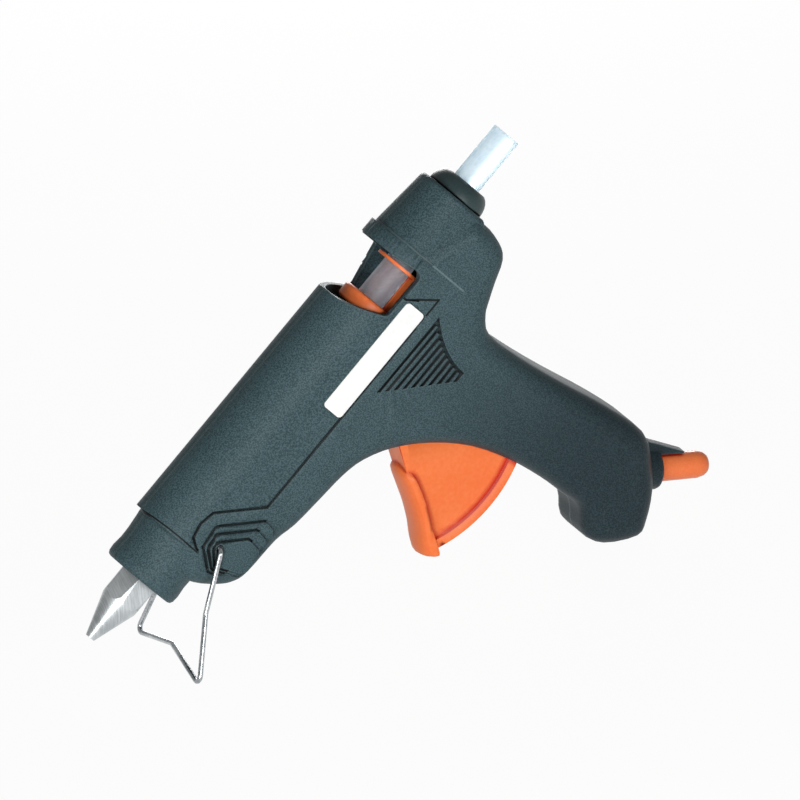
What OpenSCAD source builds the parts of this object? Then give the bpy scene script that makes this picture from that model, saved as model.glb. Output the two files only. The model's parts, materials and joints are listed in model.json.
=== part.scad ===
// Trigger-fed hot glue applicator, standing nose down on its wire stand and its butt.
// Every piece is drawn level first: X runs back along the barrel from the nozzle's tip,
// Z is up from the barrel's axis and Y is sideways. stand_up() then tips it to its resting pose.

/* [Glue stick and nozzle] */
// Diameter of the glue stick
stick_d = 11.2; // [10.8:0.1:12]
// Length of stick that shows behind the rear guide
stick_tail = 23; // [5:1:60]
// Running clearance round the stick
stick_gap = 0.3; // [0.2:0.05:0.5]
// Length of the nozzle in front of the collar
nozzle_len = 28; // [24:1:34]
// Width across the nozzle's hexagon
nozzle_af = 14.6; // [13:0.1:15]
// Diameter of the nozzle's flat tip
tip_d = 3.8; // [3.2:0.1:4.6]
// Diameter of the outlet
outlet_d = 2.2; // [1.4:0.1:2.6]

/* [Barrel] */
// Length of the front collar
collar_len = 20.5; // [18:0.5:24]
// Radius of the collar at its waist
collar_r = 14.9; // [14.5:0.1:15.3]
// Radius of the barrel's round top, and half of its width
barrel_r = 15.8; // [15.4:0.1:16.2]
// Height of the barrel's round top above the stick's axis
barrel_rise = 2.5; // [1:0.1:3]
// Length of the barrel from the collar to the window
barrel_len = 108; // [100:1:120]
// Length of the window
window_len = 22; // [20:0.5:26]
// Length of the barrel behind the window
rear_len = 31; // [28:0.5:36]
// Radius of the barrel behind the window's rim
rear_r = 15; // [14.6:0.1:15.4]
// Radius of the barrel's rear end
end_r = 12.9; // [12.6:0.1:14]
// Depth of the barrel's flank below the axis
flank_h = 13.5; // [13:0.1:14]
// Length of the raised rim behind the window
rim_len = 6; // [4:0.5:8]
// Length of the rear guide outside the barrel
guide_len = 6.8; // [6:0.2:10]

/* [Body and grip] */
// Thickness of the moulded walls
wall = 2.4; // [2:0.1:2.8]
// Width of the belly and the grip
body_w = 32.8; // [32.4:0.1:34]
// Radius of the moulded edges
edge_r = 8; // [7:0.25:8.5]
// Depth of the belly under the stand
belly_u = 27.4; // [26.8:0.1:28.2]
// Height of one step of the stand's boss
step_h = 0.7; // [0.5:0.05:0.9]
// Depth of the grip from front to back
grip_depth = 35; // [32:0.5:38]
// Length of the grip below the barrel's axis
grip_len = 141; // [136:1:150]

/* [Trigger and feed] */
// Reach of the trigger from its pivot
trigger_reach = 55; // [52:0.5:58]
// Width of the trigger's rim
trigger_w = 17; // [14:0.5:18]
// Width of the trigger's finger pad
pad_w = 17.6; // [17.4:0.1:19]
// Squeeze of the trigger in degrees
pull = 20; // [14:1:22]
// Length of the lever arm above the pivot
arm_len = 23; // [22:0.5:24]
// Diameter of the trigger's pivot pin
pivot_d = 5; // [4:0.5:6]
// Diameter of the pin that drives the carriage
drive_d = 4; // [3:0.5:4.5]
// Radius of the carriage's rings
ring_r = 10.8; // [10:0.1:11.5]
// Turns of the return spring
spring_turns = 6; // [4:1:8]
// Thickness of the spring's wire
spring_d = 1.2; // [0.8:0.1:1.4]

/* [Stand] */
// Thickness of the stand's wire
wire_d = 2; // [1.6:0.1:2.6]
// Length of a leg from its pivot to the foot
leg_len = 49.9; // [44:0.1:56]
// Angle of the legs under the barrel's line
leg_lean = 29.2; // [26:0.1:34]
// Half of the distance between the feet
foot_y = 28.9; // [26:0.1:32]
// Rise of the kink in the cross bar
kink = 6; // [3:0.5:8]
// Inside radius of the wire's bends
bend_r = 1.2; // [1:0.1:2]

/* [Butt and fittings] */
// Length of the cord gland outside the butt
gland_len = 21.7; // [16:0.1:26]
// Diameter of the gland at the butt
gland_d = 10.9; // [10:0.1:12]
// Diameter of the cord's bore through the gland
cord_d = 6.2; // [5:0.1:7]
// Diameter of the housing screws
screw_d = 3; // [2.5:0.1:3.5]
// Length of the label
label_len = 49; // [40:0.5:50]
// Height of the label
label_h = 9.4; // [7:0.1:9.6]

/* [Hidden] */
$fn = 48;

// Clearances: pieces at rest on each other, running fits, and moving pieces past fixed ones
seat = 0.1;
fit = 0.06;
run = 0.35;
// Overlap of one form into the next, and reach of a cut past a face
lap = 0.5;
past = 1;

// Stations along the barrel
barrel_b = nozzle_len + collar_len;
window_b = barrel_b + barrel_len;
rear_b = window_b + window_len;
rim_b = rear_b + rim_len;
end_b = rear_b + rear_len;
guide_b = end_b + guide_len;
tail_b = guide_b + stick_tail;
half_w = body_w / 2;
flat_w = half_w - edge_r;
inside_w = half_w - wall;
bore_r = barrel_r - wall;
nose_r = collar_r - wall;
stick_r = stick_d / 2;
hole_r = stick_r + stick_gap;

// Melt chamber, its bushes and the sleeve behind it
chamber_b = nozzle_len + 2;
chamber_len = 62;
chamber_end = chamber_b + chamber_len;
chamber_r = hole_r + 2.6;
mouth_r = chamber_r + 0.6;
stub_r = 4.5;
stub_len = 9;
stub_wall = 1.4;
stick_b = chamber_b + 32;
spigot_r = hole_r + 1.4;
spigot_len = 10;
sleeve_len = 29;
sleeve_r = spigot_r + 1.8;
sleeve_end = chamber_end + sleeve_len;
clip_r = 0.6;
bush_t = 8;
rib_t = 2;
pocket_w = 10.4;
pocket_h = 4;
pocket_wall = 1.8;
pocket_u = -chamber_r - 1.6 - pocket_h;
heater_b = barrel_b + 4;
heater_len = 29;

// Trigger: pivot, lever arm, sector and finger pad
pivot_back = 25.5;
pivot_drop = 37;
pivot = [window_b - pivot_back, -pivot_drop];
arm_lean = pull / 2;
drive = pivot + arm_len * [sin(arm_lean), cos(arm_lean)];
travel = arm_len * pull * PI / 180;
web_w = trigger_w - 3.4;
arm_w = 6.4;
arm_r = 4;
arm_t = 7;
hub_r = pivot_d / 2 + 3.5;
hub_w = 18;
slot_w = trigger_w + 2 * run + 0.3;
front_angle = -119.3;
rear_angle = -64;
rim_t = 3.4;
PAD_FRONT = [[-12.4, -17.8], [-17.3, -26.4], [-20.5, -32.7], [-25.1, -40], [-29.6, -45.6], [-30.6, -48.8]];
PAD_BACK = [[-9, -18.8], [-12, -26.6], [-14.8, -32.4], [-18, -38], [-21.6, -43.6], [-25.6, -51]];
PAD_STEPS = 3;
PAD_TURN = 22.5;
pad_draw = 0.7;
pad_dip = 0.5;

// Carriage: rings, cradle, runners and cheeks
carriage_b = window_b - 1.5;
carriage_end = rear_b - 1;
ring_t = 6;
back_t = 1.2;
back_r = ring_r - 1.8;
cradle_w = 8;
cradle_t = 1;
cradle_u = -2.2;
fin_u = -8.6;
fin_t = 2;
fin_w = bore_r - 0.5;
runner_t = 1.6;
runner_w = 3.2;
cheek_y = arm_w / 2 + run;
cheek_t = 2.8;
cheek_h = 6.5;
under_w = 2 * (cheek_y + cheek_t + run);
slot_r = drive_d / 2 + run;
slot_rise = 1.5;
jaw_b = carriage_b + ring_t + 3;
jaw_len = 8;
jaw_w = 6;
jaw_h = 2.6;
jaw_u = -hole_r - seat - jaw_h;
jaw_teeth = 5;
tooth_h = 0.9;
spring_r = ring_r - 1.9;
bulkhead_b = carriage_b - travel - (spring_turns + 1) * (spring_d + 0.45) - rib_t;
spring_b = bulkhead_b + rib_t + seat;
spring_len = carriage_b - seat - spring_b;
CURL_RINGS = 8;
SPRING_SIDES = 6;

// Body outline, as points that the curve passes through: belly, finger arch, grip, butt, neck and top
grip_top = [rear_b + 2.3, -44];
butt_b = grip_top[0] + 6;
butt = [butt_b - grip_depth, -grip_len];
BELLY = [[barrel_b - 10, -4], [barrel_b - 9, -12.5], [barrel_b - 4, -belly_u + 6.4],
         [barrel_b + 0.5, -belly_u + 1.9], [barrel_b + 7, -belly_u - 0.2],
         [barrel_b + 22, -belly_u - 0.8], [barrel_b + 31, -belly_u - 3],
         [barrel_b + 44, -belly_u - 4.3], [barrel_b + 56, -belly_u - 5.4], [barrel_b + 65, -belly_u - 7.9]];
ARCH = [pivot + [-7, -5.1], pivot + [3.5, -16.5], pivot + [12, -31], [butt[0] - 3.6, -85]];
HOOK = [[butt[0] - 1.2, butt[1] + 40.7], [butt[0] - 0.6, butt[1] + 29.4], [butt[0] - 0.6, butt[1] + 19.5],
        [butt[0] - 7.2, butt[1] + 11], [butt[0] - 5.3, butt[1] + 1.7]];
BUTT = [[butt[0] + 4.5, butt[1] - 7.5], [butt[0] + 12.1, butt[1] - 6.2], [butt[0] + 22, butt[1]],
        [butt[0] + 30, butt[1] + 8.7], [butt_b + 0.9, butt[1] + 19], [butt_b - 0.4, butt[1] + 37.9]];
NECK = [[grip_top[0] + 1.6, -80], [grip_top[0] - 1.1, -60], grip_top + [-1.8, 0.8], [rear_b + 5.4, -36.2],
        [rear_b + 11, -33], [rear_b + 17.2, -30.1], [end_b - 5.8, -26.5], [end_b - 2.2, -20.8],
        [end_b - 0.8, -12], [end_b - 3, -3]];
TOP = [[rear_b + 12, 4], [rear_b + 4, 8.5], [rear_b - 4, 8], [rear_b - 12, -1], [rear_b - 21, -7.5],
       [barrel_b + 78, -8.5], [barrel_b + 36, -8.5], [barrel_b + 24, -2], [barrel_b + 16, 7],
       [barrel_b + 8, 9], [barrel_b - 2, 5]];
BODY_LINE = concat(BELLY, ARCH, HOOK, BUTT, NECK, TOP);
LINE_STEPS = 3;
ROUND_STEP = 18;

// Raised side of the body: its upper edge is the shoulder line along the barrel and round the stand's boss
SHOULDER = [[barrel_b + 2, -1], [barrel_b + 4.5, 2.8], [barrel_b + 9.9, 4], [barrel_b + 15.5, 2.8],
            [barrel_b + 29.5, -flank_h], [rear_b - 1.6, -flank_h], [rear_b - 9, -2.3], [rear_b - 9, 3],
            [rim_b, 3], [rim_b, -20], [rear_b - 8, -24], [barrel_b + 60, -22], [barrel_b + 20, -18],
            [barrel_b + 2, -12]];

// Where the butt meets the floor, and the gland in the butt
land = [butt[0] + 5.5, butt[1] - 7.5];
gland = [butt[0] + 28, butt[1] - 0.6];
gland_angle = 50.5;
gland_end = gland + gland_len * [cos(gland_angle), -sin(gland_angle)];
flange_t = 2.4;
guide_r = end_r - 1.1;
guide_neck_r = guide_r - 2.3;
guide_flange_r = guide_neck_r + 0.9;
flange_r = gland_d / 2 + 1.1;
gland_boss_r = flange_r + seat + 1.4;
gland_boss_x = 1.8;
lip = 2.1;
gland_taper = 4;

// Stand: its pivot and the bosses that hold it
stand = [barrel_b + 7.1, -7.4];
boss_y = half_w + 3 * step_h;
leg_y = boss_y + run + wire_d / 2;
leg_straight = leg_len / 2;
pin_end = bore_r + 0.3;
WIRE_SIDES = 12;
BEND_STEPS = 5;

SCREWS = [[barrel_b + 17, -belly_u + 5.4], [barrel_b + 57, -belly_u + 1.5], [rear_b + 18, -19.5],
          [grip_top[0] - 14, -40], [butt[0] + 10, butt[1] + 50], [butt[0] + 2.5, butt[1] + 7]];
boss_r = screw_d / 2 + 2;
head_r = screw_d - 0.2;
head_t = 2.2;
head_y = half_w - 4;
screw_end = -9.5;

// Clamp bar behind the gland and the terminal block above it
clamp_x = -14;
clamp_span = 7;
clamp_t = 3;
clamp_r = 1.25;
clamp_bite = 6;
bar_y = cord_d / 2 + 0.3;
block = [butt[0] + 15, butt[1] + 32];
block_size = [12, 9, 16];
block_top = block[1] + block_size[2] / 2;
lead_y = 2.4;
lead_d = 2.2;
LEAD_ROUTE = [[heater_b + heater_len + run, pocket_u + pocket_h / 2, lead_y],
              [heater_b + heater_len + 8, -14, 5],
              [chamber_end + 14, -18, 9.5], [pivot[0] - 6, -24, 10.6], [pivot[0] + 18, -25, 10.6],
              [grip_top[0] - 11, -28, 10], [grip_top[0] - 8.5, -40, 9], [grip_top[0] - 8, -60, 8],
              [block[0] + 8, block_top + 18, 5], [block[0], block_top + 6, lead_y],
              [block[0], block_top + 2, lead_y], [block[0], block_top - 3, lead_y]];
LEAD_STEPS = 3;

label_b = barrel_b + 71.5;
label_t = 0.5;
label_gap = 0.2;
label_r = 1.6;

// Smooth closed or open curve through points
function unit(v) = v / norm(v);
function knot(p, i, closed) = closed ? p[(i + len(p)) % len(p)] : p[max(0, min(len(p) - 1, i))];
function glide(a, b, c, d, t) =
    0.5 * (2 * b + (c - a) * t + (2 * a - 5 * b + 4 * c - d) * t * t + (3 * b - a - 3 * c + d) * t * t * t);
function curve(p, steps, closed) =
    [for (i = [0:len(p) - (closed ? 1 : 2)], k = [0:steps - 1])
        glide(knot(p, i - 1, closed), knot(p, i, closed), knot(p, i + 1, closed), knot(p, i + 2, closed),
              k / steps)];

// Tube of flat-sided rings along a path, with the rings square to it
function ring(p, ahead, d, sides, up) =
    let (t = unit(ahead), s = unit(cross(t, up)), n = cross(s, t))
    [for (k = [0:sides - 1]) p + d / 2 * (cos(360 * k / sides) * s + sin(360 * k / sides) * n)];
module tube(path, d, sides, up) {
    last = len(path) - 1;
    rings = [for (i = [0:last])
        each ring(path[i], path[min(last, i + 1)] - path[max(0, i - 1)], d, sides, up)];
    walls = [for (i = [0:last - 1], k = [0:sides - 1])
        let (a = i * sides + k, b = i * sides + (k + 1) % sides)
        each [[a, b, a + sides], [b, b + sides, a + sides]]];
    caps = [for (k = [1:sides - 2])
        each [[0, k + 1, k], [last * sides, last * sides + k, last * sides + k + 1]]];
    polyhedron(rings, concat(walls, caps));
}

// Helpers in the level frame
module stand_up() translate([-mid_x, 0, -floor_z]) rotate([0, -tilt, 0]) children();
module turned(points) rotate([0, 90, 0]) rotate_extrude($fn = 64) polygon([for (p = points) [p[1], p[0]]]);
module rod(b0, b1, r) translate([b0, 0, 0]) rotate([0, 90, 0]) cylinder(h = b1 - b0, r = r);
module across(p, y0, y1, r) translate([p[0], y0, p[1]]) rotate([-90, 0, 0]) cylinder(h = y1 - y0, r = r);
module side(y0, y1) translate([0, y1, 0]) rotate([90, 0, 0]) linear_extrude(y1 - y0) children();
module along(b0, b1) translate([b0, 0, 0]) rotate([90, 0, 90]) linear_extrude(b1 - b0) children();
module box(b, y, u) translate([b[0], y[0], u[0]]) cube([b[1] - b[0], y[1] - y[0], u[1] - u[0]]);
function mid(at, size) = [at - size / 2, at + size / 2];
module at_gland() translate([gland[0], 0, gland[1]]) rotate([0, gland_angle, 0]) children();

// Body wall: a strip that follows the outline and rolls over into the flat side
function inset(p, d) = [for (i = [0:len(p) - 1])
    let (t = unit(knot(p, i + 1, true) - knot(p, i - 1, true))) p[i] + d * [-t[1], t[0]]];
OUTLINE = curve(BODY_LINE, LINE_STEPS, true);
FLAT_LINE = curve(inset(BODY_LINE, edge_r), LINE_STEPS, true);
function between(f) = [for (i = [0:len(OUTLINE) - 1]) OUTLINE[i] + f * (FLAT_LINE[i] - OUTLINE[i])];
inner_part = 1 - wall / edge_r;
SECTION = concat([[0, 0]],
    [for (a = [0:ROUND_STEP:90]) [1 - cos(a), flat_w + edge_r * sin(a)]],
    [for (a = [90:-ROUND_STEP:0]) [1 - inner_part * cos(a), flat_w + inner_part * edge_r * sin(a)]],
    [[1 - inner_part, 0]]);
flat_share = 0.97;
module body_wall() {
    n = len(OUTLINE);
    m = len(SECTION);
    points = [for (i = [0:n - 1], s = SECTION)
        let (p = OUTLINE[i] + s[0] * (FLAT_LINE[i] - OUTLINE[i])) [p[0], -s[1], p[1]]];
    faces = [for (i = [0:n - 1], j = [0:m - 1])
        let (a = i * m + j, b = i * m + (j + 1) % m, on = ((i + 1) % n - i) * m)
        each [[a, b, a + on], [b, b + on, a + on]]];
    polyhedron(points, faces);
}
module body_side() side(-half_w, -inside_w) { polygon(between(flat_share)); polygon(SHOULDER); }

// Barrel: an arch in section, with the collar in front and a taper behind
module arch(r, drop) {
    translate([0, barrel_rise]) circle(r, $fn = 64);
    translate([-r, -drop]) square([2 * r, drop + barrel_rise]);
}
end_round = 1.6;
module rear_form(grow, stop) hull() {
    along(rim_b - lap, rim_b - lap / 2) arch(rear_r + grow, flank_h - 2);
    for (a = [0, 35, 70])
        let (b = stop - end_round * (1 - sin(a) / sin(70)), in = end_round * (1 - cos(a)))
        along(b - lap / 2, b) arch(end_r + grow - in, flank_h - 4 - in);
}
module collar_form() turned([[nozzle_len, 0], [nozzle_len, collar_r - 1.3],
    [nozzle_len + 0.4, collar_r - 0.4], [nozzle_len + 1.5, collar_r + 0.2],
    [nozzle_len + 4, collar_r + 0.4], [nozzle_len + 8, collar_r],
    [nozzle_len + 12, collar_r + 0.1], [nozzle_len + 16, collar_r + 0.5], [barrel_b - 1.2, barrel_r],
    [barrel_b + lap, barrel_r + 0.1], [barrel_b + lap, 0]]);
terrace_r = 2.2;
module terrace(k) offset(r = terrace_r) offset(delta = -terrace_r) polygon([[barrel_b - 3.6 + 1.6 * k, -11],
    [barrel_b + 3.4 + 0.6 * k, -0.6 - 2 * k], [barrel_b + 14.5 - 2.2 * k, 0.5 - 1.9 * k],
    [barrel_b + 29.8 - 4.5 * k, -17.1 + 0.8 * k], [barrel_b + 29 - 4.5 * k, -belly_u + 5],
    [barrel_b + 2 + k, -belly_u + 5]]);
// Fine groove at the foot of the first child's raised form, apart from where the second child lies
crease_w = 0.8;
crease_t = 0.45;
crease_bite = 0.06;
module crease(level) side(-2 * half_w, level + crease_t) difference() {
    offset(delta = crease_w) children(0);
    offset(delta = -crease_bite) children(0);
    offset(delta = -crease_bite / 2) children(1);
}
module creases() {
    crease(-barrel_r) {
        polygon(SHOULDER);
        union() {
            polygon(between(flat_share));
            terrace(1);
        }
    }
    for (k = [1:3]) crease(-half_w - step_h * (k - 1)) {
        terrace(k);
        translate([0, -2 * grip_len - flank_h - 3]) square(2 * grip_len);
    }
}
module window_side(sill) offset(r = 2.8) offset(delta = -2.8) polygon([[window_b + 3.5, sill[0]],
    [window_b - 3, barrel_r], [window_b - 4, 2 * barrel_r], [rear_b, 2 * barrel_r],
    [rear_b - 0.5, barrel_r], [rear_b + 1.5, sill[1]]]);
// Grip panel: a sunk field with a curved rear edge and ribs left standing in it
GROOVES = 10;
groove_w = 1.2;
groove_pitch = 2.5;
groove_t = 1.2;
panel = [pivot[0] + 5, -flank_h - 4.2];
panel_h = groove_pitch * (GROOVES - 1) + groove_w;
panel_foot = 22;
panel_steps = 8;
function panel_back(f) = panel_foot + 4 + 10 * (1 - f) * (1 - f);
module grooves_side() translate(panel) difference() {
    polygon(concat([[panel_foot, -panel_h], [0, 0]],
        [for (k = [0:panel_steps]) [panel_back(k / panel_steps), -panel_h * k / panel_steps]]));
    for (k = [1:GROOVES - 1]) translate([-past, -groove_pitch * k])
        square([panel_back(groove_pitch * k / panel_h) - groove_w + past, groove_pitch - groove_w]);
}
module label_form(grow) translate([label_b, -flank_h + 2 * label_gap]) offset(r = label_r + grow)
    translate([label_r, label_r]) square([label_len - 2 * label_r, label_h - 2 * label_r]);

module half_outer() {
    body_wall();
    body_side();
    collar_form();
    along(barrel_b, rear_b + lap) arch(barrel_r, flank_h);
    along(rear_b, rim_b) arch(half_w, flank_h);
    rear_form(0, end_b);
    for (k = [1:3]) side(-half_w - step_h * k, -inside_w) terrace(k);
    at_gland() {
        turned([[-8, 0], [-8, gland_boss_r], [gland_boss_x - 2, gland_boss_r],
            [gland_boss_x - 0.7, gland_boss_r - 0.5], [gland_boss_x, gland_boss_r - 1.6],
            [gland_boss_x, 0]]);
        side(-fin_y, 0) polygon(FIN_SIDE);
    }
}
fin_y = 2.5;
FIN_SIDE = [[-8, gland_d / 2 + run], [11.5, gland_d / 2 + run], [11.5, gland_d / 2 + 0.9], [-4.3, 11.7],
            [-8, 12]];
module half_inner() {
    rod(nozzle_len + wall, barrel_b + wall, nose_r);
    rod(nozzle_len - past, nozzle_len + wall + past, mouth_r);
    along(barrel_b + wall, rim_b) arch(bore_r, flank_h + 5);
    rear_form(-wall, end_b - wall);
    rod(end_b - wall - past, end_b + past, guide_neck_r);
}
module bulkhead(b, r) difference() {
    along(b, b + rib_t) arch(bore_r + lap, flank_h - wall);
    rod(b - past, b + rib_t + past, r);
    box([b - past, b + rib_t + past], mid(0, under_w), [-flank_h, fin_u + fin_t + run]);
}
module fittings() {
    for (b = [chamber_end - bush_t - rib_t - seat, chamber_end + seat]) bulkhead(b, sleeve_r + lap);
    bulkhead(bulkhead_b, hole_r + lap);
    for (u = [fin_u - run - runner_t, fin_u + fin_t + run])
        box([bulkhead_b, carriage_end + 2], [-bore_r - lap, -bore_r - lap + runner_w], [u, u + runner_t]);
    for (s = SCREWS) across(s, -inside_w - lap, 0, boss_r);
    across(pivot, -inside_w - lap, -hub_w / 2 - run, hub_r);
    box(mid(block[0], block_size[0] - 4), [-inside_w - lap, -block_size[1] / 2 - seat],
        mid(block[1], block_size[2] - 4));
}
LEFT_SILL = [-1.1, -1.1];
RIGHT_SILL = [1, 5.5];
module half_shell(sill) difference() {
    union() {
        difference() {
            half_outer();
            half_inner();
        }
        fittings();
    }
    box([-past, tail_b], [0, 2 * half_w], [-2 * grip_len, grip_len]);
    side(-2 * half_w, past) window_side(sill);
    translate([pivot[0], 0, pivot[1]]) side(-slot_w / 2, past)
        sector_slice(trigger_reach + 2 * run, front_angle - 5, rear_angle + pull + 5);
    across(pivot, -inside_w + 0.6, past, pivot_d / 2 + fit);
    across(stand, -boss_y - past, past, wire_d / 2 + fit);
    across(stand, -boss_y - past, -boss_y + bend_r, wire_d / 2 + run);
    rod(end_b - wall - flange_t - run, end_b - wall, guide_flange_r + seat);
    at_gland() {
        rod(-9, gland_boss_x + past, gland_d / 2 + seat);
        rod(-wall - flange_t - 2 * seat, -wall, flange_r + seat);
    }
    side(-half_w - past, -half_w + groove_t) grooves_side();
    creases();
    rotate([0, tilt, 0]) box([0, 2 * tail_b], [-2 * half_w, 2 * half_w], [floor_z - 20, floor_z]);
}
module left_shell() color("#3a484a") stand_up() difference() {
    union() {
        half_shell(LEFT_SILL);
        at_gland() for (s = [-1, 1])
            across([clamp_x, s * clamp_span], -inside_w - lap, bar_y - seat, clamp_r + 1.7);
    }
    for (s = SCREWS) across(s, screw_end - past, past, screw_d / 2 + fit);
    at_gland() for (s = [-1, 1])
        across([clamp_x, s * clamp_span], -clamp_bite - 2, bar_y + past, clamp_r + fit);
    side(-barrel_r - past, -barrel_r + label_t) label_form(label_gap);
}
module right_shell() color("#3a484a") stand_up() difference() {
    mirror([0, 1, 0]) half_shell(RIGHT_SILL);
    for (s = SCREWS) {
        across(s, -past, half_w + past, screw_d / 2 + fit);
        across(s, head_y, half_w + past, head_r + run);
    }
}

module nozzle() color("#c9cdd0") stand_up() difference() {
    union() {
        intersection() {
            turned([[0, 0], [0, tip_d / 2], [nozzle_len * 0.66, nozzle_af * 0.545],
                [chamber_b, nozzle_af * 0.585], [chamber_b, 0]]);
            rotate([0, 90, 0]) cylinder(h = chamber_b, r = nozzle_af / 2 / cos(30), $fn = 6);
        }
        rod(chamber_b - lap, chamber_b + stub_len, stub_r);
    }
    rod(-past, chamber_b, outlet_d / 2);
    rod(nozzle_len / 2, chamber_b + stub_len + past, stub_r - stub_wall);
}
module melt_chamber() color("#b9bdc0") stand_up() difference() {
    union() {
        rod(chamber_b, chamber_end, chamber_r);
        rod(chamber_end - past, chamber_end + spigot_len, spigot_r);
        box([heater_b, heater_b + heater_len], mid(0, pocket_w + 2 * pocket_wall),
            [pocket_u - pocket_wall, -pocket_wall]);
    }
    rod(chamber_b - past, chamber_b + stub_len + past, stub_r + fit);
    turned([[chamber_b + stub_len + lap, 0], [chamber_b + stub_len + lap, stub_r],
        [chamber_b + stub_len + 2, stub_r], [chamber_b + stub_len + 7, hole_r],
        [chamber_end + spigot_len + past, hole_r], [chamber_end + spigot_len + past, 0]]);
    box([heater_b - past, heater_b + heater_len + past], mid(0, pocket_w), [pocket_u, pocket_u + pocket_h]);
}
module heater_element() color("#e8e2d2") stand_up()
    box([heater_b, heater_b + heater_len], mid(0, pocket_w - 2 * seat),
        [pocket_u + seat, pocket_u + pocket_h - seat]);
module bush(b, out_r, in_r) difference() {
    rod(b, b + bush_t, out_r - seat);
    rod(b - past, b + bush_t + past, in_r + seat);
}
module front_bush() color("#7d4a2c") stand_up() bush(nozzle_len + wall + seat, nose_r, chamber_r);
module rear_bush() color("#7d4a2c") stand_up() difference() {
    bush(chamber_end - bush_t, bore_r, chamber_r);
    box([chamber_end - bush_t - past, chamber_end + past], mid(0, under_w),
        [-2 * bore_r, -chamber_r - rib_t]);
}
module feed_sleeve() color("#b5482f") stand_up() difference() {
    turned([[chamber_end + seat, 0], [chamber_end + seat, sleeve_r],
        [chamber_end + spigot_len + 4, sleeve_r], [sleeve_end, sleeve_r - past], [sleeve_end, 0]]);
    rod(chamber_end - past, chamber_end + spigot_len + seat, spigot_r + fit);
    rod(chamber_end, sleeve_end + past, hole_r);
}
module sleeve_ring() color("silver") stand_up()
    translate([chamber_end + spigot_len - 3, 0, 0]) rotate([0, 90, 0])
        rotate_extrude() translate([sleeve_r + clip_r + fit, 0]) circle(clip_r, $fn = 24);

module carriage() color("#f47a34") stand_up() difference() {
    union() {
        turned([[carriage_b, 0], [carriage_b, ring_r - 1.2], [carriage_b + 0.4, ring_r - 0.4],
            [carriage_b + 1.2, ring_r], [carriage_b + ring_t - 1.2, ring_r],
            [carriage_b + ring_t - 0.4, ring_r - 0.4], [carriage_b + ring_t, ring_r - 1.2],
            [carriage_b + ring_t, 0]]);
        rod(carriage_end - back_t, carriage_end, back_r);
        for (s = [-1, 1]) box([carriage_b, carriage_end], mid(s * (cradle_w - cradle_t / 2), cradle_t),
            [fin_u, cradle_u]);
        box([carriage_b, carriage_end], mid(0, 2 * fin_w), [fin_u, fin_u + fin_t]);
        box([jaw_b - 2, jaw_b + jaw_len + 2], mid(0, 2 * (cradle_w - lap)), [jaw_u - 2, -hole_r + past]);
        for (s = [-1, 1]) box([drive[0] - slot_r - 3, carriage_b + ring_t],
            mid(s * (cheek_y + cheek_t / 2), cheek_t), [drive[1] - cheek_h, fin_u + fin_t]);
        for (s = [-1, 1]) box([drive[0] - slot_r - 3, carriage_b + past],
            mid(s * (cheek_y + cheek_t / 2), cheek_t), [drive[1] - cheek_h, drive[1] + cheek_h]);
    }
    rod(carriage_b - past, carriage_end + past, hole_r + 0.2);
    rod(bulkhead_b, carriage_b, ring_r + run);
    for (d = [-1, 1]) across(drive + [0, d * slot_rise], -2 * arm_w, 2 * arm_w, slot_r);
    box([drive[0] - slot_r, drive[0] + slot_r], mid(0, 4 * arm_w), mid(drive[1], 2 * slot_rise));
    box([jaw_b - seat, jaw_b + jaw_len + seat], mid(0, jaw_w + 2 * seat), [jaw_u - seat, 0]);
}
module stick_gripper() color("#9aa0a4") stand_up() side(-jaw_w / 2, jaw_w / 2) polygon(concat(
    [[jaw_b + jaw_len, jaw_u], [jaw_b, jaw_u]],
    [for (k = [0:jaw_teeth - 1]) let (b = jaw_b + jaw_len * k / jaw_teeth)
        each [[b, jaw_u + jaw_h], [b + jaw_len / jaw_teeth * 0.9, jaw_u + jaw_h - tooth_h]]],
    [[jaw_b + jaw_len, jaw_u + jaw_h - tooth_h]]));
spring_rings = spring_turns * CURL_RINGS;
SPRING_PATH = [for (k = [0:spring_rings]) let (a = 360 * k / CURL_RINGS)
    [spring_b + spring_d / 2 + (spring_len - spring_d) * k / spring_rings,
     spring_r * cos(a), spring_r * sin(a)]];
spring_gap = min([for (k = [0:spring_rings - CURL_RINGS], j = [-1:1])
    norm(SPRING_PATH[min(spring_rings, k + CURL_RINGS + j)] - SPRING_PATH[k])]) - spring_d;
echo(spring_gap = spring_gap);
module return_spring() color("#b9bdc0") stand_up() tube(SPRING_PATH, spring_d, SPRING_SIDES, [1, 0, 0]);

ARC_STEPS = 12;
module sector(r, a0, a1) polygon(concat([[0, 0]],
    [for (k = [0:ARC_STEPS]) let (a = a0 + (a1 - a0) * k / ARC_STEPS) r * [cos(a), sin(a)]]));
module sector_slice(r, a0, a1) intersection() {
    sector(1.2 * r, a0, a1);
    circle(r, $fn = 96);
}
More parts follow.
